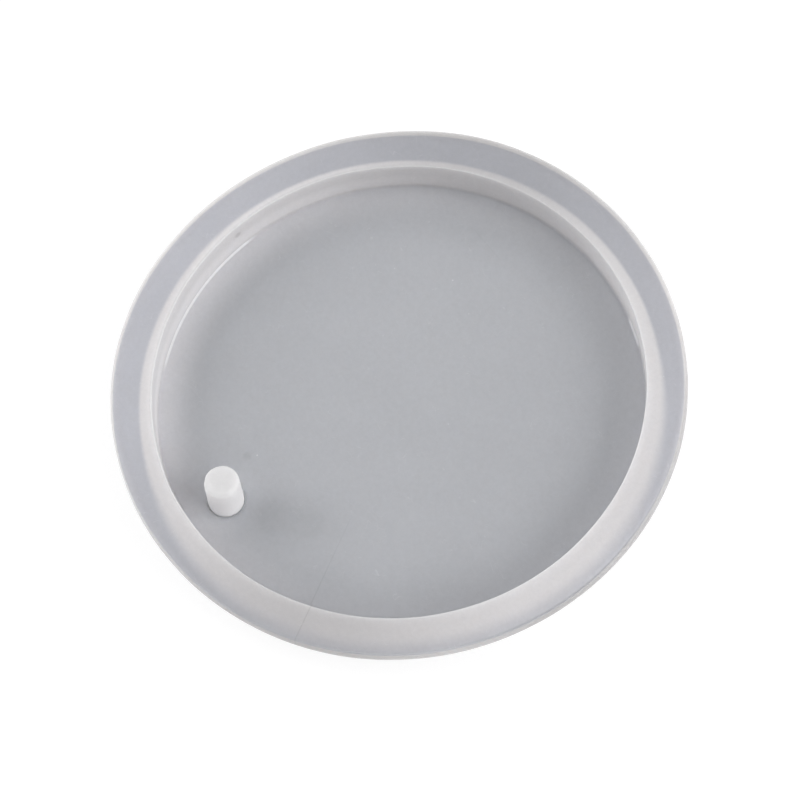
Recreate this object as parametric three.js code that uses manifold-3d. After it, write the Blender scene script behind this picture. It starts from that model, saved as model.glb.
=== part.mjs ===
// Round resin casting mould in soft silicone: a shallow thin-walled tray with a flat flange round its
// mouth, and a peg that stands in a blind socket in the floor and leaves a hanging hole in the casting.
// Millimetres, +Z up. The origin is the centre of the flat underside, and the peg is on the +Y side.
import * as THREE from 'three';
import { mergeVertices } from 'three/addons/utils/BufferGeometryUtils.js';
import Module from 'manifold-3d';

// Driving dimensions.
const cavity = {
  mouthRadius: 40, // at the rim
  floorRadius: 39.7, // a little draft, so that the casting lets go
  depth: 6.5,
};
const tray = {
  floorThickness: 2,
  wallThickness: 2,
  flangeRadius: 46.5,
  flangeThickness: 2.2,
};
const peg = {
  footRadius: 2.95,
  topRadius: 2.85,
  heightOverFloor: 7.6, // stands proud of the rim, so that the hole goes right through the casting
  distanceFromAxis: 32.4,
};
const socket = {
  depth: 1.4,
  radialClearance: 0.1,
  floorClearance: 0.1, // under the seated peg
};
const rounding = {
  cavityCorner: 0.5,
  mouthEdge: 0.25,
  flangeEdge: 0.35,
  underFlange: 0.9,
  footEdge: 0.7,
  pegEdge: 0.2,
};
const facets = { tray: 120, peg: 48, arc: 4 };

// Heights over the underside.
const floorTop = tray.floorThickness;
const rimTop = floorTop + cavity.depth;
const flangeUnderside = rimTop - tray.flangeThickness;
const socketBottom = floorTop - socket.depth;

const wasm = await Module();
wasm.setup();

// A half profile through the given corners. A corner with a round gets an arc of that radius,
// tangent to both of its sides.
function roundedProfile(corners) {
  const points = [];
  corners.forEach(({ at, round = 0 }, i) => {
    if (!round) {
      points.push(at);
      return;
    }
    const toBefore = corners[i - 1].at.clone().sub(at).normalize();
    const toAfter = corners[i + 1].at.clone().sub(at).normalize();
    const halfAngle = Math.acos(toBefore.dot(toAfter)) / 2;
    const start = at.clone().addScaledVector(toBefore, round / Math.tan(halfAngle));
    const bisector = toBefore.clone().add(toAfter).normalize();
    const centre = at.clone().addScaledVector(bisector, round / Math.sin(halfAngle));
    const turn = Math.sign(toAfter.cross(toBefore)) * (Math.PI - 2 * halfAngle);
    for (let k = 0; k <= facets.arc; k++) {
      points.push(start.clone().rotateAround(centre, (turn * k) / facets.arc));
    }
  });
  return points;
}

const corner = (radius, height, round) => ({ at: new THREE.Vector2(radius, height), round });

// A profile that starts and ends on the axis, turned round +Z.
function turned(profile, segments) {
  return new THREE.LatheGeometry(profile, segments).rotateX(Math.PI / 2);
}

function toSolid(geometry) {
  const bare = geometry.clone();
  bare.deleteAttribute('normal');
  bare.deleteAttribute('uv');
  const merged = mergeVertices(bare, 1e-4);
  return new wasm.Manifold(
    new wasm.Mesh({
      numProp: 3,
      vertProperties: merged.attributes.position.array,
      triVerts: new Uint32Array(merged.index.array),
    }),
  );
}

function toGeometry(solid) {
  const { vertProperties, triVerts } = solid.getMesh();
  const geometry = new THREE.BufferGeometry();
  geometry.setAttribute('position', new THREE.BufferAttribute(vertProperties, 3));
  geometry.setIndex(new THREE.BufferAttribute(triVerts, 1));
  geometry.computeVertexNormals();
  return geometry;
}

// The tray with its flange, before the socket is cut. The wall keeps its thickness down the draft.
function trayBlank() {
  const profile = roundedProfile([
    corner(0, 0),
    corner(cavity.floorRadius + tray.wallThickness, 0, rounding.footEdge),
    corner(cavity.mouthRadius + tray.wallThickness, flangeUnderside, rounding.underFlange),
    corner(tray.flangeRadius, flangeUnderside, rounding.flangeEdge),
    corner(tray.flangeRadius, rimTop, rounding.flangeEdge),
    corner(cavity.mouthRadius, rimTop, rounding.mouthEdge),
    corner(cavity.floorRadius, floorTop, rounding.cavityCorner),
    corner(0, floorTop),
  ]);
  return turned(profile, facets.tray);
}

// What the socket takes out of the floor, reaching above it so that the cut comes out clean.
function socketCutter() {
  const radius = peg.footRadius + socket.radialClearance;
  const height = socket.depth + 1;
  return new THREE.CylinderGeometry(radius, radius, height, facets.peg)
    .rotateX(Math.PI / 2)
    .translate(0, peg.distanceFromAxis, socketBottom + height / 2);
}

function trayGeometry() {
  return toGeometry(toSolid(trayBlank()).subtract(toSolid(socketCutter())));
}

// A drafted rod. Its own origin is on its axis, level with the top of the tray's floor.
function pegGeometry() {
  const bottom = socketBottom + socket.floorClearance - floorTop;
  const profile = roundedProfile([
    corner(0, bottom),
    corner(peg.footRadius, bottom, rounding.pegEdge),
    corner(peg.footRadius, 0),
    corner(peg.topRadius, peg.heightOverFloor, rounding.pegEdge),
    corner(0, peg.heightOverFloor),
  ]);
  return turned(profile, facets.peg);
}

function named(name, geometry, look) {
  const mesh = new THREE.Mesh(geometry, new THREE.MeshStandardMaterial({ metalness: 0, ...look }));
  mesh.name = name;
  return mesh;
}

const milkySilicone = { color: 0xb4b5b9, roughness: 0.42 };
const whiteSilicone = { color: 0xdedede, roughness: 0.5 };

const mould = new THREE.Group();
mould.add(named('mould_tray', trayGeometry(), milkySilicone));

const holePeg = named('hole_peg', pegGeometry(), whiteSilicone);
holePeg.position.set(0, peg.distanceFromAxis, floorTop);
mould.add(holePeg);

export default mould;
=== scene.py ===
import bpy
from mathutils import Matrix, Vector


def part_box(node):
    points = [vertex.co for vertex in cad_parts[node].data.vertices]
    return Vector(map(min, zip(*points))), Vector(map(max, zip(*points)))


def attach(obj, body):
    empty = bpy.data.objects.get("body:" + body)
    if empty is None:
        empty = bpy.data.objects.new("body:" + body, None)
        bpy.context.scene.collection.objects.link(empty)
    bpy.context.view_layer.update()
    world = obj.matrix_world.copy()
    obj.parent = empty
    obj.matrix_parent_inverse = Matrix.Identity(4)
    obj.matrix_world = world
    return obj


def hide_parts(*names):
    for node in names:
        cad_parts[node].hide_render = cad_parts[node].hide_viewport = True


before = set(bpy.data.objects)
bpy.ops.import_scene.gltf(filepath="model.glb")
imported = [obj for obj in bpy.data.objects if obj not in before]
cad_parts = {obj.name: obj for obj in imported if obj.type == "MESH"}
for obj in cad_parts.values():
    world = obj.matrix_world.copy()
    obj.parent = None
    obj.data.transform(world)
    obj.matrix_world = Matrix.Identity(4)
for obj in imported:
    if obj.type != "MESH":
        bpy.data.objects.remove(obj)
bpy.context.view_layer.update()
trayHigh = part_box("mould_tray")[1]
pegLow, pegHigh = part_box("hole_peg")

import math
from types import SimpleNamespace

import bmesh
import bpy
from mathutils import Matrix, Vector, noise

mm = 0.001
sharpAngle = 40  # edges that turn by more degrees than this stay crisp


def filletedProfile(corners, arcSteps):
    # corners are (radius, height, round) in millimetres
    # each rounded one becomes an arc tangent to both sides
    points = []
    for i, (radius, height, fillet) in enumerate(corners):
        here = Vector((radius, height))
        if not fillet:
            points.append(here)
            continue
        before = (Vector(corners[i - 1][:2]) - here).normalized()
        after = (Vector(corners[i + 1][:2]) - here).normalized()
        half = before.angle(after) / 2
        start = here + before * (fillet / math.tan(half))
        end = here + after * (fillet / math.tan(half))
        centre = here + (before + after).normalized() * (fillet / math.sin(half))
        toStart, toEnd = start - centre, end - centre
        sweep = math.pi - 2 * half
        for step in range(arcSteps + 1):
            share = step / arcSteps
            spoke = toStart * math.sin((1 - share) * sweep) + toEnd * math.sin(share * sweep)
            points.append(centre + spoke / math.sin(sweep))
    return points


def subdivided(points, longest):
    # adds points along straight stretches, so that wave and noise can bend them
    out = [points[0]]
    for start, end in zip(points, points[1:]):
        steps = max(1, math.ceil((end - start).length / longest))
        out += [start.lerp(end, step / steps) for step in range(1, steps + 1)]
    return out


def ringOfCorners(mesh, point, segments, shape, turned):
    # one point of a profile carried round +Z; on the axis it is a single corner
    onAxis = 1e-6
    if point.x < onAxis:
        return [mesh.verts.new((0, 0, point.y * mm))]
    ring = []
    for step in range(segments):
        turn = 2 * math.pi * step / segments
        place = Vector((point.x * math.cos(turn), point.x * math.sin(turn), point.y))
        if shape:
            place = shape(place)
        corner = mesh.verts.new(place * mm)
        corner[turned] = point.x
        ring.append(corner)
    return ring


def joinRings(mesh, low, high, segments):
    if len(low) == 1 and len(high) == 1:
        return
    for step in range(segments):
        following = (step + 1) % segments
        if len(low) == 1:
            mesh.faces.new((low[0], high[following], high[step]))
        elif len(high) == 1:
            mesh.faces.new((low[step], low[following], high[0]))
        else:
            mesh.faces.new((low[step], low[following], high[following], high[step]))


def spunMesh(name, profile, segments, shape=None):
    # a profile from axis to axis, turned round +Z; shape(point) moves each point afterwards
    mesh = bmesh.new()
    turned = mesh.verts.layers.float.new("profileRadius")
    rings = [ringOfCorners(mesh, point, segments, shape, turned) for point in profile]
    for low, high in zip(rings, rings[1:]):
        joinRings(mesh, low, high, segments)
    bmesh.ops.recalc_face_normals(mesh, faces=mesh.faces)
    data = bpy.data.meshes.new(name)
    mesh.to_mesh(data)
    mesh.free()
    made = bpy.data.objects.new(name, data)
    bpy.context.scene.collection.objects.link(made)
    return made


def cutAway(target, cutter):
    # takes the cutter out of the target and keeps the result as plain mesh
    cut = target.modifiers.new("cut", "BOOLEAN")
    cut.operation, cut.object, cut.solver = "DIFFERENCE", cutter, "EXACT"
    bpy.context.view_layer.update()
    held = bpy.data.meshes.new_from_object(target.evaluated_get(bpy.context.evaluated_depsgraph_get()))
    target.modifiers.remove(cut)
    target.data = held
    bpy.data.objects.remove(cutter)


def smooth(made, sharpAbove):
    made.data.shade_smooth()
    made.data.set_sharp_from_angle(angle=math.radians(sharpAbove))


def addNode(tree, kind, **values):
    # values are the node's own settings
    made = tree.nodes.new(kind if kind.startswith("NodeGroup") else "ShaderNode" + kind)
    for key, value in values.items():
        setattr(made, key, value)
    return made


def plug(tree, socket, value):
    # links another node's output, or sets a value; a colour gets its alpha, and None changes nothing
    if isinstance(value, bpy.types.NodeSocket):
        tree.links.new(value, socket)
    elif value is not None:
        wide = hasattr(socket.default_value, "__len__") and len(socket.default_value) == 4 and len(value) == 3
        socket.default_value = (*value, 1) if wide else value


def maths(tree, operation, *values, clamp=False):
    made = addNode(tree, "Math", operation=operation, use_clamp=clamp)
    for socket, value in zip(made.inputs, values):
        plug(tree, socket, value)
    return made.outputs[0]


def vectorMaths(tree, operation, *values):
    made = addNode(tree, "VectorMath", operation=operation)
    for socket, value in zip(made.inputs, values):
        plug(tree, socket, value)
    return made.outputs["Value" if operation in ("LENGTH", "DOT_PRODUCT") else "Vector"]


def scaled(tree, vector, amount):
    return vectorMaths(tree, "SCALE", vector, None, None, amount)


def ramp(tree, value, low, high, toLow=0.0, toHigh=1.0):
    # smooth step from toLow at low to toHigh at high
    made = addNode(tree, "MapRange", interpolation_type="SMOOTHSTEP")
    settings = {"Value": value, "From Min": low, "From Max": high, "To Min": toLow, "To Max": toHigh}
    for key, given in settings.items():
        plug(tree, made.inputs[key], given)
    return made.outputs["Result"]


def rampFrom(tree, value, base, span, toLow=0.0, toHigh=1.0):
    # the same with its span given from a base
    return ramp(tree, value, base + span[0], base + span[1], toLow, toHigh)


def band(tree, value, start, end, softStart, softEnd):
    # 1 from start to end, with soft edges centred on them
    rise = ramp(tree, value, start - softStart / 2, start + softStart / 2)
    fall = ramp(tree, value, end - softEnd / 2, end + softEnd / 2, 1.0, 0.0)
    return maths(tree, "MULTIPLY", rise, fall)


def blendColour(tree, factor, first, second):
    # inputs 6 and 7 and output 2 are the Mix node's colour sockets
    made = addNode(tree, "Mix", data_type="RGBA")
    for socket, value in ((made.inputs[0], factor), (made.inputs[6], first), (made.inputs[7], second)):
        plug(tree, socket, value)
    return made.outputs[2]


def blendValue(tree, factor, first, second):
    made = addNode(tree, "Mix", data_type="FLOAT")
    for socket, value in ((made.inputs[0], factor), (made.inputs[2], first), (made.inputs[3], second)):
        plug(tree, socket, value)
    return made.outputs[0]


def noiseValue(tree, place, scale, detail=3.0, rough=0.5, stretch=None):
    if stretch:
        mapped = addNode(tree, "Mapping")
        mapped.inputs["Scale"].default_value = stretch
        plug(tree, mapped.inputs["Vector"], place)
        place = mapped.outputs[0]
    made = addNode(tree, "TexNoise")
    for key, given in (("Vector", place), ("Scale", scale), ("Detail", detail), ("Roughness", rough)):
        plug(tree, made.inputs[key], given)
    return made.outputs[0]


def millimetres(tree):
    # the place on a piece, from its own origin
    own = addNode(tree, "TexCoord").outputs["Object"]
    return scaled(tree, own, 1 / mm)


def heightOf(tree, place):
    made = addNode(tree, "SeparateXYZ")
    plug(tree, made.inputs[0], place)
    return made.outputs["Z"]


def newMaterial(name, settings):
    material = bpy.data.materials.new(name)
    material.use_nodes = True
    shader = material.node_tree.nodes["Principled BSDF"]
    for key, given in settings.items():
        shader.inputs[key].default_value = given
    return material, material.node_tree, shader


silicone = {
    # what both silicones share; noise scales are per millimetre
    "noiseMiddle": 0.5,
    "clouds": {"scale": 0.09, "detail": 4.0, "rough": 0.6},
    "fine": {"scale": 1.3, "detail": 3.0, "rough": 0.7},
    "cloudShare": (0.35, 0.65),  # of the clouds and of the fine noise in the tint
    "hairs": [{"scale": 0.16, "stretch": (1.0, 2.2, 1.0)}, {"scale": 0.24, "stretch": (2.4, 1.0, 1.0)}],
    "hairDetail": (2.0, 0.4),
    "hairWidth": 0.0035,  # how near the noise has to be to its middle value
    "hairPatches": {"scale": 1.7, "span": (0.52, 0.62)},  # its scale is a multiple of the hairline's
    "dustScale": 0.45,
    "dustShare": (0.88, 0.94),
    "dustSize": (0.05, 0.04),  # how much the size changes and the least size, as shares of a cell
    "dustSoftness": 0.3,
    "dustColour": (0.85, 0.85, 0.86),
    "scuffs": {"scale": 0.35, "detail": 5.0, "rough": 0.65, "stretch": (1.0, 6.0, 1.0)},
    "scuffSpan": (0.58, 0.72),
    "roughness": 0.50,
    "cloudRoughness": 0.16,
    "scuffRoughness": 0.12,
    "grain": {"scale": 3.2, "detail": 2.0, "rough": 0.6},
    "waves": {"scale": 0.16, "detail": 1.0},
    "waveHeight": 2.0,  # these three are beside a grain height of 1
    "scuffHeight": 0.3,
    "hairHeight": -1.0,
}


def hairlines(tree, place, look):
    # a hairline runs where a slow noise crosses its middle value, and only here and there
    hair = 0.0
    patches = look["hairPatches"]
    for kind in look["hairs"]:
        slow = noiseValue(tree, place, kind["scale"], *look["hairDetail"], kind["stretch"])
        crossing = maths(tree, "ABSOLUTE", maths(tree, "SUBTRACT", slow, look["noiseMiddle"]))
        line = ramp(tree, crossing, 0.0, look["hairWidth"], 1.0, 0.0)
        sparse = noiseValue(tree, place, kind["scale"] * patches["scale"], detail=1.0)
        hair = maths(tree, "MULTIPLY_ADD", line, ramp(tree, sparse, *patches["span"]), hair)
    return hair


def dustSpecks(tree, place, look):
    # a speck in the middle of a few cells only, each of its own size
    cells = addNode(tree, "TexVoronoi", feature="F1")
    for key, given in (("Vector", place), ("Scale", look["dustScale"]), ("Randomness", 1.0)):
        plug(tree, cells.inputs[key], given)
    chosen = addNode(tree, "SeparateColor")
    plug(tree, chosen.inputs[0], cells.outputs["Color"])
    few = ramp(tree, chosen.outputs[0], *look["dustShare"])
    size = maths(tree, "MULTIPLY_ADD", chosen.outputs[1], *look["dustSize"])
    core = maths(tree, "MULTIPLY", size, look["dustSoftness"])
    return maths(tree, "MULTIPLY", ramp(tree, cells.outputs["Distance"], core, size, 1.0, 0.0), few)


def surfaceGroup(look):
    # faint clouding, hairline scratches, pale dust, satin grain and scuffs
    tree = bpy.data.node_groups.new("siliconeSurface", "ShaderNodeTree")
    for name in ("Clouding", "Scratches", "Dust", "Grain", "Scuffs"):
        tree.interface.new_socket(name, in_out="INPUT", socket_type="NodeSocketFloat")
    tree.interface.new_socket("Place", in_out="INPUT", socket_type="NodeSocketVector")
    for name in ("Tint", "Pale", "Roughness", "Height"):
        tree.interface.new_socket(name, in_out="OUTPUT", socket_type="NodeSocketFloat")
    given = addNode(tree, "NodeGroupInput").outputs
    place = given["Place"]

    clouds = noiseValue(tree, place, **look["clouds"])
    fine = noiseValue(tree, place, **look["fine"])
    cloudShare, fineShare = look["cloudShare"]
    both = maths(tree, "MULTIPLY_ADD", clouds, cloudShare, maths(tree, "MULTIPLY", fine, fineShare))
    uneven = maths(tree, "SUBTRACT", both, look["noiseMiddle"])
    tint = maths(tree, "MULTIPLY_ADD", uneven, given["Clouding"], 1.0)

    hair = maths(tree, "MULTIPLY", hairlines(tree, place, look), given["Scratches"])
    pale = maths(tree, "MULTIPLY", dustSpecks(tree, place, look), given["Dust"])
    pale = maths(tree, "ADD", pale, hair, clamp=True)

    scuffed = ramp(tree, noiseValue(tree, place, **look["scuffs"]), *look["scuffSpan"])
    scuffed = maths(tree, "MULTIPLY", scuffed, given["Scuffs"])
    roughness = maths(tree, "MULTIPLY_ADD", clouds, look["cloudRoughness"], look["roughness"])
    roughness = maths(tree, "MULTIPLY_ADD", scuffed, look["scuffRoughness"], roughness, clamp=True)

    grain = noiseValue(tree, place, **look["grain"])
    waves = noiseValue(tree, place, **look["waves"])
    height = maths(tree, "MULTIPLY", maths(tree, "SUBTRACT", grain, look["noiseMiddle"]), given["Grain"])
    for value, amount in ((waves, "waveHeight"), (scuffed, "scuffHeight"), (hair, "hairHeight")):
        height = maths(tree, "MULTIPLY_ADD", value, look[amount], height)

    out = addNode(tree, "NodeGroupOutput").inputs
    for name, value in (("Tint", tint), ("Pale", pale), ("Roughness", roughness), ("Height", height)):
        plug(tree, out[name], value)
    return tree


siliconeSurface = surfaceGroup(silicone)


def addSurface(tree, shader, place, colour, look, rougher, dent=None):
    # the shared surface over a colour, into the shader; dent lowers the surface
    group = addNode(tree, "Group", node_tree=siliconeSurface)
    plug(tree, group.inputs["Place"], place)
    for name, amount in look["surface"].items():
        group.inputs[name].default_value = amount
    tinted = scaled(tree, colour, group.outputs["Tint"])
    dusty = blendColour(tree, group.outputs["Pale"], tinted, silicone["dustColour"])
    plug(tree, shader.inputs["Base Color"], dusty)
    roughness = maths(tree, "ADD", group.outputs["Roughness"], rougher, clamp=True)
    plug(tree, shader.inputs["Roughness"], roughness)
    height = group.outputs["Height"]
    if dent:
        height = maths(tree, "SUBTRACT", height, dent)
    bump = addNode(tree, "Bump")
    bump.inputs["Distance"].default_value = look["bump"] * mm
    plug(tree, bump.inputs["Height"], height)
    plug(tree, shader.inputs["Normal"], bump.outputs[0])


lineFade = (0.3, 0.7)  # where a line fades, as shares of its width
spotFade = (0.2, 0.6)


def lineMask(tree, place, start, end, width):
    # 1 on a straight line between two points
    along = Vector(end) - Vector(start)
    fromStart = vectorMaths(tree, "SUBTRACT", place, start)
    reached = vectorMaths(tree, "DOT_PRODUCT", fromStart, tuple(along))
    share = maths(tree, "DIVIDE", reached, along.length_squared, clamp=True)
    nearest = scaled(tree, tuple(along), share)
    distance = vectorMaths(tree, "LENGTH", vectorMaths(tree, "SUBTRACT", fromStart, nearest))
    return ramp(tree, distance, *(width * share for share in lineFade), 1.0, 0.0)


def spotMask(tree, place, centre, size):
    distance = vectorMaths(tree, "LENGTH", vectorMaths(tree, "SUBTRACT", place, centre))
    return ramp(tree, distance, *(size * share for share in spotFade), 1.0, 0.0)


milky = {
    # places and spans are in millimetres, a span is measured from the edge that its note names,
    # a side is the direction that it faces, and a turn is a range of cosines from that direction
    # floor, flange, wall and ring are one silicone: the thin floor and flange are painted darker for the
    # shade seen through them, the thick wall and its top paler for the light scattered through them
    "floorColour": (0.482, 0.490, 0.515),
    "paintedGlowColour": (0.718, 0.710, 0.733),
    "paintedGlowSide": (0.7517, 0.6595, 0),  # painted light: the floor is palest beside this part of the wall, where light from the wall falls on it
    "glow": (0.62, 0.42, 0.28),  # its middle share, the difference round the floor, less at the grey sides
    "paintedGlowSpan": (-7.5, 0.3),  # from the floor's edge

    "flangeColour": (0.515, 0.522, 0.560),
    "flangeSpan": (-0.2, 0.2),  # from the mouth
    "flangeShades": [((-2.5, -0.4), 0.94), ((-0.6, -0.3), 0.93)],  # painted shade: spans from the rim, and how dark
    "keySide": 0.95,  # painted shade: the flange is this much darker opposite the glow

    "wallColour": (0.630, 0.622, 0.634),
    "ringColour": (0.663, 0.653, 0.664),  # the wall's top, which shows through the flange
    "cornerSpan": (-0.35, 0.05),  # from the floor's edge
    "ringSpan": (-0.5, -0.1),  # from the top
    "paleSide": (-0.947, 0.321, 0),  # where the wall shows widest through the flange
    "paleTurn": (-0.1, 0.9),
    "wallOffset": 1.2,
    "skirt": (3.2, 0.3),  # how much further past the wall it shows there, and how far opposite
    "wallSoftness": 0.2,
    "belowSpan": (-0.6, -0.1),  # from the flange's underside

    # painted light on the rim: a pale strip along the top of one side, and the whole side face
    "edgeLightColour": (0.60, 0.592, 0.60),
    "edgeSide": (0.83, -0.56, 0),  # where the pale strip along the edge is widest
    "edgeStrip": (0.50, 0.45),  # how much wider or narrower it gets, and its middle width
    "stripSoftness": 0.12,
    "face": (0.15, 0.28, 0.2, 0.15),  # its ends inside the flange's thickness, and how soft they are
    "faceSpan": (-0.35, -0.15),  # from the rim
    # painted shade: the rim is darker on this side
    "darkEdgeSide": (-0.855, -0.519, 0),
    "darkEdgeTurn": (0.6, 0.95),
    "darkEdgeSpan": (0.1, 0.5),  # inwards from the rim
    "darkEdge": 0.32,

    "greySide": (0.6595, -0.7517, 0),  # painted shade: everything is greyer towards here and away from here
    "greySpan": (-13, -4),  # from the floor's edge
    "greyFloor": 0.07,
    "greyWall": 0.14,
    "greyRing": 0.22,
    "greyFlange": 0.22,
    "greyPowers": (3.5, 6.0),  # a higher power is a narrower sector: floor and flange, wall and its top

    "crease": [(-13.3, 16.8, 0), (-18.7, 23.8, 0), (-23.0, 29.3, 0), (-25.9, 30.1, 0), (-29.9, 35.3, 0)],
    "creaseWidth": 0.2,
    "creaseReach": (18.0, 45.0),
    "creaseShare": (0.03, 0.12),  # at the start and the end of its reach
    "smudges": [((38.9, 8.8, 6.0), 1.4, 0.16), ((5.1, 25.8, 2.0), 1.7, 0.08)],  # place, size and how dark
    # painted shadow of the peg beside it, with a fainter one round it, and a hairline: ends, width and how
    # dark
    "pegShadowsAndHairline": [
        ((-6.6, 27.4, 0), (-10.6, 22.8, 0), 5.0, 0.04),
        ((-7.2, 26.7, 0), (-11.8, 22.4, 0), 9.0, 0.035),
        ((21.5, -25.5, 0), (14.6, -26.4, 0), 0.2, 0.03),
    ],
    "upperSpan": (-0.4, -0.1),  # from the floor's top, so that no mark shows on the underside
    "socketSkinAndPaintedLight": [(4.0, 0.11), (1.3, 0.08), (0.32, 0.85)],  # the outer two are painted light that lifts the shade round the peg's foot, the last the thin pale skin at its edge: how far out from the foot, and how much paler
    "socketStart": 0.05,
    "socketSoftness": 0.03,
    "lip": (-0.15, 0.35, 0.1, 0.3),  # its ends from the mouth, and how soft they are
    # painted shade on the lip, on the glow's side
    "lipShade": 0.10,
    "lipTurn": (-0.2, 0.8),

    "shineColour": (0.93, 0.93, 0.94),
    # painted highlights: which way each pale line in the corner lies, the cosines where it is gone and full,
    # and its share
    "cornerHighlights": [((0.872, 0.489, 0), 0.930, 0.955, 0.8), ((-0.203, -0.979, 0), 0.997, 0.999, 0.5)],
    "cornerHeight": (0.02, 0.26, 0.04, 0.1),  # its ends above the floor, and how soft they are
    "cornerWidth": (-0.42, 0.1),  # from the floor's edge, and how soft it is
    "cornerRoughness": -0.35,
    "mattRoughness": 0.3,  # the lip and the rim are matt
    "mattSpan": (-0.7, -0.4),  # from the rim

    "surface": {"Clouding": 0.22, "Scratches": 0.16, "Dust": 0.5, "Grain": 1.0, "Scuffs": 0.6},
    "bump": 0.012,
    "shader": {
        "Subsurface Weight": 1.0,
        "Subsurface Radius": (1.0, 0.95, 0.9),
        "Subsurface Scale": 0.004,
        "IOR": 1.41,
        "Specular IOR Level": 0.36,
    },
}


def whereOnTray(tree, look, sizes):
    # the measures of a point that the tray's colours go by
    place = millimetres(tree)
    flat = vectorMaths(tree, "MULTIPLY", place, (1, 1, 0))
    away = vectorMaths(tree, "NORMALIZE", flat)
    height = heightOf(tree, place)
    profileRadius = addNode(tree, "Attribute", attribute_name="profileRadius").outputs["Fac"]
    return SimpleNamespace(
        place=place,
        flat=flat,
        away=away,
        height=height,
        radius=vectorMaths(tree, "LENGTH", flat),
        profileRadius=profileRadius,
        fromRim=maths(tree, "SUBTRACT", sizes["flangeRadius"], profileRadius),
        glowing=vectorMaths(tree, "DOT_PRODUCT", away, look["paintedGlowSide"]),
        across=maths(tree, "ABSOLUTE", vectorMaths(tree, "DOT_PRODUCT", away, look["greySide"])),
        upper=rampFrom(tree, height, sizes["floor"], look["upperSpan"]),
    )


def towards(tree, at, side):
    return vectorMaths(tree, "DOT_PRODUCT", at.away, side)


def floorColour(tree, look, sizes, at):
    # painted light: paler near the wall that lights it
    middle, difference, taken = look["glow"]
    share = maths(tree, "MULTIPLY_ADD", at.glowing, difference, middle)
    share = maths(tree, "MULTIPLY_ADD", maths(tree, "POWER", at.across, 2.0), -taken, share, clamp=True)
    glow = maths(tree, "MULTIPLY", rampFrom(tree, at.radius, sizes["cavityFloor"], look["paintedGlowSpan"]), share)
    return blendColour(tree, glow, look["floorColour"], look["paintedGlowColour"])


def flangeColour(tree, look, sizes, at):
    # painted shade: slightly darker along its edge and opposite the glow
    rim = sizes["flangeRadius"]
    shades = [rampFrom(tree, at.profileRadius, rim, span, 1.0, dark) for span, dark in look["flangeShades"]]
    shade = maths(tree, "MULTIPLY", *shades)
    shade = maths(tree, "MULTIPLY", shade, ramp(tree, at.glowing, -1.0, 0.0, look["keySide"], 1.0))
    return scaled(tree, look["flangeColour"], shade)


def wallShares(tree, look, sizes, at):
    # the share of the wall, which also shows through the flange, and of the wall's top in it
    outside = sizes["cavityMouth"] + sizes["wall"]
    offset = tuple(look["wallOffset"] * part for part in look["paleSide"])
    shifted = vectorMaths(tree, "SUBTRACT", at.flat, offset)
    widening = ramp(tree, towards(tree, at, look["paleSide"]), *look["paleTurn"])
    further, opposite = look["skirt"]
    skirt = maths(tree, "MULTIPLY_ADD", widening, further, outside + opposite)
    end = maths(tree, "ADD", skirt, look["wallSoftness"])
    seen = ramp(tree, vectorMaths(tree, "LENGTH", shifted), outside - look["wallSoftness"], end, 1.0, 0.0)
    underside = sizes["height"] - sizes["flange"]
    below = rampFrom(tree, at.height, underside, look["belowSpan"], 1.0, 0.0)
    inside = rampFrom(tree, at.radius, sizes["cavityFloor"], look["cornerSpan"])
    wall = maths(tree, "MULTIPLY", inside, maths(tree, "MAXIMUM", seen, below))
    return wall, rampFrom(tree, at.height, sizes["height"], look["ringSpan"])


def paintedEdgeLight(tree, look, sizes, at):
    # painted light: a strip along the top of one side, and the whole side face
    inwards = maths(tree, "MULTIPLY_ADD", towards(tree, at, look["edgeSide"]), *look["edgeStrip"])
    soft = look["stripSoftness"]
    strip = ramp(tree, maths(tree, "SUBTRACT", inwards, at.fromRim), -soft, soft)
    bottom, top, softBottom, softTop = look["face"]
    underside = sizes["height"] - sizes["flange"]
    face = band(tree, at.height, underside + bottom, sizes["height"] - top, softBottom, softTop)
    nearRim = rampFrom(tree, at.profileRadius, sizes["flangeRadius"], look["faceSpan"])
    return maths(tree, "MAXIMUM", strip, maths(tree, "MULTIPLY", face, nearRim))


def darkEdgeShade(tree, look, at):
    # painted shade along the rim, on one side
    facing = ramp(tree, towards(tree, at, look["darkEdgeSide"]), *look["darkEdgeTurn"])
    dark = maths(tree, "MULTIPLY", facing, ramp(tree, at.fromRim, *look["darkEdgeSpan"], 1.0, 0.0))
    return maths(tree, "MULTIPLY_ADD", dark, -look["darkEdge"], 1.0)


def greyShade(tree, look, sizes, at, flange, wall, ring):
    # painted shade: greyer on two opposite sides, in a narrower sector on the wall and its top
    grey = rampFrom(tree, at.radius, sizes["cavityFloor"], look["greySpan"], 0.0, look["greyFloor"])
    grey = blendValue(tree, flange, grey, look["greyFlange"])
    grey = blendValue(tree, wall, grey, look["greyWall"])
    grey = blendValue(tree, maths(tree, "MULTIPLY", wall, ring), grey, look["greyRing"])
    sector = maths(tree, "POWER", at.across, blendValue(tree, wall, *look["greyPowers"]))
    return maths(tree, "SUBTRACT", 1.0, maths(tree, "MULTIPLY", grey, sector))


def creaseMask(tree, look, at):
    # one hairline from the floor over the lip to the rim, clearest on the flange
    crease = 0.0
    for start, end in zip(look["crease"], look["crease"][1:]):
        crease = maths(tree, "MAXIMUM", crease, lineMask(tree, at.flat, start, end, look["creaseWidth"]))
    clear = ramp(tree, at.radius, *look["creaseReach"], *look["creaseShare"])
    return maths(tree, "MULTIPLY", maths(tree, "MULTIPLY", crease, clear), at.upper)


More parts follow.
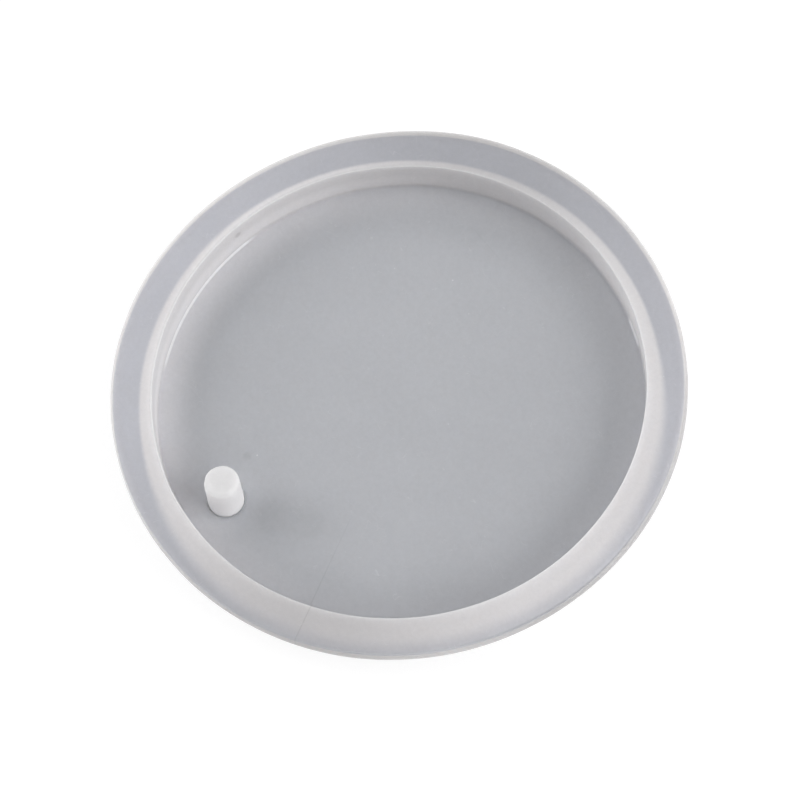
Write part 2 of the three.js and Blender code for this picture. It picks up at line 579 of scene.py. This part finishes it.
def markShade(tree, look, at, crease, lip, pegAxis, pegFoot):
    # the crease and smudges, the painted shadow beside the peg and a hairline, painted light and the thin
    # skin round the peg's socket, and painted shade at the lip
    marksAndPaintedLight = maths(tree, "SUBTRACT", 1.0, crease)
    for centre, size, dark in look["smudges"]:
        marksAndPaintedLight = maths(tree, "MULTIPLY_ADD", spotMask(tree, at.place, centre, size), -dark, marksAndPaintedLight)
    fromAxis = vectorMaths(tree, "LENGTH", vectorMaths(tree, "SUBTRACT", at.flat, pegAxis))
    fromFoot = maths(tree, "SUBTRACT", fromAxis, pegFoot)
    soft = look["socketSoftness"]
    onFloor = maths(tree, "MULTIPLY", at.upper, ramp(tree, fromFoot, -soft, soft))
    # painted light round the peg's foot, and the thin pale skin at the socket's edge
    for reach, paler in look["socketSkinAndPaintedLight"]:
        near = ramp(tree, fromFoot, look["socketStart"], reach, paler, 0.0)
        marksAndPaintedLight = maths(tree, "ADD", marksAndPaintedLight, maths(tree, "MULTIPLY", onFloor, near))
    # the painted shadow beside the peg, and a hairline
    for start, end, width, dark in look["pegShadowsAndHairline"]:
        darkStrip = maths(tree, "MULTIPLY", lineMask(tree, at.flat, start, end, width), at.upper)
        marksAndPaintedLight = maths(tree, "MULTIPLY_ADD", darkStrip, -dark, marksAndPaintedLight)
    # painted shade on the lip
    shaded = maths(tree, "MULTIPLY", lip, ramp(tree, at.glowing, *look["lipTurn"]))
    return maths(tree, "MULTIPLY_ADD", shaded, -look["lipShade"], marksAndPaintedLight)


def cornerShine(tree, look, sizes, at):
    # painted highlights: parts of the cavity's corner shine in thin pale lines
    start, end, softStart, softEnd = look["cornerHeight"]
    corner = band(tree, at.height, sizes["floor"] + start, sizes["floor"] + end, softStart, softEnd)
    inwards, soft = look["cornerWidth"]
    near = band(tree, at.radius, sizes["cavityFloor"] + inwards, sizes["cavityMouth"], soft, soft)
    shine = 0.0
    for side, gone, full, share in look["cornerHighlights"]:
        facing = ramp(tree, towards(tree, at, side), gone, full, 0.0, share)
        shine = maths(tree, "MAXIMUM", shine, facing)
    return maths(tree, "MULTIPLY", maths(tree, "MULTIPLY", corner, near), shine)


def milkySilicone(look, sizes, pegAxis, pegFoot):
    # sizes are the tray's, and the peg's axis and foot radius place the painted light and the thin skin round
    # its socket
    material, tree, shader = newMaterial("milkySilicone", look["shader"])
    at = whereOnTray(tree, look, sizes)
    mouth, rim = sizes["cavityMouth"], sizes["flangeRadius"]

    flange = rampFrom(tree, at.radius, mouth, look["flangeSpan"])
    wall, ring = wallShares(tree, look, sizes, at)
    wallHere = blendColour(tree, ring, look["wallColour"], look["ringColour"])
    # painted shade on the flange
    flangeHere = flangeColour(tree, look, sizes, at)
    # painted light on the floor near the wall
    colour = blendColour(tree, flange, floorColour(tree, look, sizes, at), flangeHere)
    colour = blendColour(tree, wall, colour, wallHere)
    # painted light along the rim
    colour = blendColour(tree, paintedEdgeLight(tree, look, sizes, at), colour, look["edgeLightColour"])
    colour = scaled(tree, colour, darkEdgeShade(tree, look, at))
    colour = scaled(tree, colour, greyShade(tree, look, sizes, at, flange, wall, ring))

    crease = creaseMask(tree, look, at)
    start, end, softStart, softEnd = look["lip"]
    lip = band(tree, at.profileRadius, mouth + start, mouth + end, softStart, softEnd)
    # marks, with painted shadow, light and shade
    colour = scaled(tree, colour, markShade(tree, look, at, crease, lip, pegAxis, pegFoot))
    # painted highlights in the corner
    corner = cornerShine(tree, look, sizes, at)
    colour = blendColour(tree, corner, colour, look["shineColour"])

    matt = maths(tree, "MAXIMUM", lip, rampFrom(tree, at.profileRadius, rim, look["mattSpan"]))
    matt = maths(tree, "MULTIPLY", matt, look["mattRoughness"])
    rougher = maths(tree, "MULTIPLY_ADD", corner, look["cornerRoughness"], matt)
    addSurface(tree, shader, at.place, colour, look, rougher, crease)
    return material


white = {
    # painted light and shade: the top, the side and the foot have their own colours, paler towards the wall
    "topColour": (0.728, 0.722, 0.727),
    "top": pegHigh.z / mm,
    "topSpan": (-0.6, -0.1),  # from the top
    "shadeSide": (0, 1, 0),  # towards the wall, where the side and foot are painted palest against the shade
    "shadeTurn": (-0.7, 0.9),
    "sideColours": [(0.705, 0.697, 0.702), (0.870, 0.858, 0.863)],  # away from that side and towards it
    "footColours": [(0.720, 0.708, 0.713), (0.960, 0.945, 0.950)],
    "footHeights": (2.0, 6.5),  # the foot's colours fade between these
    "rougher": 0.2,
    "surface": {"Clouding": 0.08, "Scratches": 0.05, "Dust": 0.3, "Grain": 1.0, "Scuffs": 0.3},
    "bump": 0.02,
    "shader": {
        "Subsurface Weight": 1.0,
        "Subsurface Radius": (1.0, 1.0, 1.0),
        "Subsurface Scale": 0.002,
        "IOR": 1.41,
        "Specular IOR Level": 0.36,
    },
}


def whiteSilicone(look):
    # painted light and shade: the side and foot paler towards the wall, the top its own colour
    material, tree, shader = newMaterial("whiteSilicone", look["shader"])
    place = millimetres(tree)
    height = heightOf(tree, place)
    onTop = rampFrom(tree, height, look["top"], look["topSpan"])
    onFoot = ramp(tree, height, *look["footHeights"], 1.0, 0.0)
    away = vectorMaths(tree, "NORMALIZE", vectorMaths(tree, "MULTIPLY", place, (1, 1, 0)))
    facing = vectorMaths(tree, "DOT_PRODUCT", away, look["shadeSide"])
    shaded = ramp(tree, facing, *look["shadeTurn"])
    above, below = (blendColour(tree, shaded, *look[pair]) for pair in ("sideColours", "footColours"))
    side = blendColour(tree, onFoot, above, below)
    colour = blendColour(tree, onTop, side, look["topColour"])
    addSurface(tree, shader, place, colour, look, look["rougher"])
    return material


tray = {
    "cavityMouth": 40.0,
    "cavityFloor": 39.7,
    "floor": 2.0,
    "height": trayHigh.z / mm,
    "wall": 2.0,
    "flangeRadius": trayHigh.x / mm,
    "flange": 2.2,
    "baseRound": 0.7,
    "underFlangeRound": 0.9,
    "rimRound": 0.35,
    "lipRound": 0.15,
    "cornerRound": 0.5,
    "segments": 240,
    "arcSteps": 5,
    "longest": 1.6,  # of the stretches between two points of the outline
    "socketDepth": 1.4,
    "socketSpace": 0.02,  # round the peg's foot
    "cutterTop": 4.0,
    # how many times each wave goes round the flange, its size in millimetres, and where it peaks in degrees
    "waves": [(1, 0.11, -50), (2, 0.06, 68), (3, 0.12, 57), (4, 0.08, -41)],
    "lift": 0.10,
    "liftNoise": (0.3, 1.6),  # where in the noise, and how fast it changes round the flange
    "waver": 0.06,
    "waverNoise": (0.1, 5),  # how fast it changes with height, and round the lip
    "waverInside": 38.0,  # it leaves alone everything within this radius
    "waverAbove": 1.0,  # and everything lower than this over the floor
}

peg = {
    "place": (pegLow.y + pegHigh.y) / 2 / mm,
    "foot": (pegHigh.x - pegLow.x) / 2 / mm,
    "footRound": 0.2,
    "straight": 0.2,  # how far over the floor it starts to taper
    "top": 2.85,
    "proud": pegHigh.z / mm - tray["floor"],
    "rounding": 0.7,
    "longest": 0.5,
    "arcSteps": 4,
    "uneven": 0.16,
    "seed": 4,  # without one the unevenness would change from run to run
    "evenBelow": 0.5,  # over the floor
    # how fine each unevenness is, where in the noise it is taken, and its share
    "bends": [(0.45, (0, 0, 0), 1.0), (1.6, (3, 7, 1), 0.3)],
    "segments": 96,
}


def trayProfile(sizes):
    underside = sizes["height"] - sizes["flange"]
    corners = [
        (0, 0, 0),
        (sizes["cavityFloor"] + sizes["wall"], 0, sizes["baseRound"]),
        (sizes["cavityMouth"] + sizes["wall"], underside, sizes["underFlangeRound"]),
        (sizes["flangeRadius"], underside, sizes["rimRound"]),
        (sizes["flangeRadius"], sizes["height"], sizes["rimRound"]),
        (sizes["cavityMouth"], sizes["height"], sizes["lipRound"]),
        (sizes["cavityFloor"], sizes["floor"], sizes["cornerRound"]),
        (0, sizes["floor"], 0),
    ]
    return subdivided(filletedProfile(corners, sizes["arcSteps"]), sizes["longest"])


def softFlange(place):
    # soft silicone is never quite round or flat: the lip wavers, and the flange swells, draws in and lifts
    radius = math.hypot(place.x, place.y)
    turn = math.atan2(place.y, place.x)
    if radius > tray["waverInside"] and place.z > tray["floor"] + tray["waverAbove"]:
        rise, scale = tray["waverNoise"]
        waver = tray["waver"] * noise.noise(Vector((math.cos(turn), math.sin(turn), rise * place.z)) * scale)
        place = place + Vector((math.cos(turn), math.sin(turn), 0)) * waver
    wallOutside = tray["cavityMouth"] + tray["wall"]
    share = max(0.0, (radius - wallOutside) / (tray["flangeRadius"] - wallOutside))
    swell = sum(size * math.cos(count * (turn - math.radians(peak))) for count, size, peak in tray["waves"])
    level, scale = tray["liftNoise"]
    lift = tray["lift"] * share * noise.noise(Vector((math.cos(turn), math.sin(turn), level)) * scale)
    grown = 1 + swell * share / radius
    return Vector((place.x * grown, place.y * grown, place.z + lift))


def makeTray(sizes):
    made = spunMesh("mouldTray", trayProfile(sizes), sizes["segments"], softFlange)
    bore = peg["foot"] + sizes["socketSpace"]
    bottom, top = sizes["floor"] - sizes["socketDepth"], sizes["cutterTop"]
    outline = [Vector(point) for point in ((0, bottom), (bore, bottom), (bore, top), (0, top))]
    cutter = spunMesh("socketCutter", outline, peg["segments"])
    cutter.location.y = peg["place"] * mm
    cutAway(made, cutter)
    smooth(made, sharpAngle)
    made.data.materials.clear()
    made.data.materials.append(milkySilicone(milky, sizes, (0, peg["place"], 0), peg["foot"]))
    return made


mouldTray = makeTray(tray)
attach(mouldTray, "tray")
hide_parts("mould_tray")
print("tray made", len(mouldTray.data.polygons), "faces")


def pegProfile(sizes):
    floor, top = tray["floor"], tray["floor"] + sizes["proud"]
    corners = [
        (0, pegLow.z / mm, 0),
        (sizes["foot"], pegLow.z / mm, sizes["footRound"]),
        (sizes["foot"], floor + sizes["straight"], 0),
        (sizes["top"], top, sizes["rounding"]),
        (0, top, 0),
    ]
    return subdivided(filletedProfile(corners, sizes["arcSteps"]), sizes["longest"])


def unevenPeg(place):
    # cast by hand, so neither quite round nor quite flat on top
    up = max(0.0, place.z - tray["floor"] - peg["evenBelow"]) / peg["proud"]
    moved = place
    for scale, start, share in peg["bends"]:
        moved = moved + noise.noise_vector(place * scale + Vector(start)) * peg["uneven"] * share * up
    return moved


def makePeg(sizes):
    noise.seed_set(sizes["seed"])
    made = spunMesh("holePeg", pegProfile(sizes), sizes["segments"], unevenPeg)
    made.location.y = sizes["place"] * mm
    smooth(made, sharpAngle)
    made.data.materials.append(whiteSilicone(white))
    return made


holePeg = makePeg(peg)
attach(holePeg, "peg")
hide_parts("hole_peg")
print("peg made", len(holePeg.data.polygons), "faces")

table = {
    "size": 6.0,
    "drop": 0.02,  # millimetres under the tray, so that the two faces don't share a plane
    "shader": {"Base Color": (0.9, 0.9, 0.9, 1), "Roughness": 0.9, "Specular IOR Level": 0.0},
    "glow": 1.15,  # the sweep is lit from within, which keeps it plain white
    "glowShare": 0.7,
}


def makeTable(sizes):
    half = sizes["size"] / 2
    corners = [(-half, -half, 0), (half, -half, 0), (half, half, 0), (-half, half, 0)]
    data = bpy.data.meshes.new("tableTop")
    data.from_pydata(corners, [], [(0, 1, 2, 3)])
    made = bpy.data.objects.new("tableTop", data)
    made.location.z = -sizes["drop"] * mm
    bpy.context.scene.collection.objects.link(made)
    material, tree, shader = newMaterial("tableWhite", sizes["shader"])
    glow = addNode(tree, "Emission")
    glow.inputs["Strength"].default_value = sizes["glow"]
    seen = addNode(tree, "LightPath").outputs["Is Camera Ray"]
    both = addNode(tree, "MixShader")
    plug(tree, both.inputs[0], maths(tree, "MULTIPLY", seen, sizes["glowShare"]))
    tree.links.new(shader.outputs[0], both.inputs[1])
    tree.links.new(glow.outputs[0], both.inputs[2])
    tree.links.new(both.outputs[0], tree.nodes["Material Output"].inputs["Surface"])
    data.materials.append(material)


makeTable(table)
print("table made")

shot = {
    # angles in degrees, distance and clips in metres, the rest in millimetres
    "azimuth": 251.26,
    "elevation": 64.95,
    "roll": -11.13,
    "distance": 1.2,
    "lens": 335.55,
    "sensor": 36,
    "clipStart": 0.05,
    "clipEnd": 50,
    "aimHeight": 8.5,
    "slide": (-0.0948, -1.780),
}


def placeCamera(sizes):
    around, over = math.radians(sizes["azimuth"]), math.radians(sizes["elevation"])
    back = Vector((math.sin(around) * math.cos(over), -math.cos(around) * math.cos(over), math.sin(over)))
    right = Vector((math.cos(around), math.sin(around), 0))
    up = back.cross(right)
    data = bpy.data.cameras.new("camera")
    data.lens, data.sensor_width = sizes["lens"], sizes["sensor"]
    data.clip_start, data.clip_end = sizes["clipStart"], sizes["clipEnd"]
    made = bpy.data.objects.new("camera", data)
    bpy.context.scene.collection.objects.link(made)
    place = Vector((0, 0, sizes["aimHeight"] * mm)) + back * sizes["distance"]
    place += right * sizes["slide"][0] * mm + up * sizes["slide"][1] * mm
    turn = Matrix((right, up, back)).transposed().to_4x4()
    turn = turn @ Matrix.Rotation(math.radians(sizes["roll"]), 4, "Z")
    made.matrix_world = Matrix.Translation(place) @ turn
    bpy.context.scene.camera = made


placeCamera(shot)
print("camera placed")

studio = {
    "room": (1.0, 1.0, 1.0),
    "roomStrength": 0.6,
    "softboxDistance": 1.2,
    "softboxSize": (1.1, 0.75),
    # turn is from the camera's right and elevation above the table, in degrees, and power is in watts
    "softboxes": [
        {"name": "keySoftbox", "turn": -28, "elevation": 29, "power": 8.5},
        {"name": "fillSoftbox", "turn": 150, "elevation": 30, "power": 6.3},
    ],
}


def placeSoftbox(sizes):
    data = bpy.data.lights.new(sizes["name"], "AREA")
    data.shape, data.size, data.size_y = "RECTANGLE", *studio["softboxSize"]
    data.energy = sizes["power"]
    made = bpy.data.objects.new(sizes["name"], data)
    bpy.context.scene.collection.objects.link(made)
    around, over = math.radians(shot["azimuth"] + sizes["turn"]), math.radians(sizes["elevation"])
    way = Vector((math.cos(around) * math.cos(over), math.sin(around) * math.cos(over), math.sin(over)))
    made.location = way * studio["softboxDistance"]
    made.rotation_mode = "QUATERNION"
    made.rotation_quaternion = way.to_track_quat("Z", "Y")


for softbox in studio["softboxes"]:
    placeSoftbox(softbox)

world = bpy.data.worlds.new("studio")
world.use_nodes = True
backdrop = world.node_tree.nodes["Background"].inputs
backdrop["Color"].default_value = (*studio["room"], 1)
backdrop["Strength"].default_value = studio["roomStrength"]
bpy.context.scene.world = world
bpy.context.scene.view_settings.view_transform = "Standard"
print("lights placed")
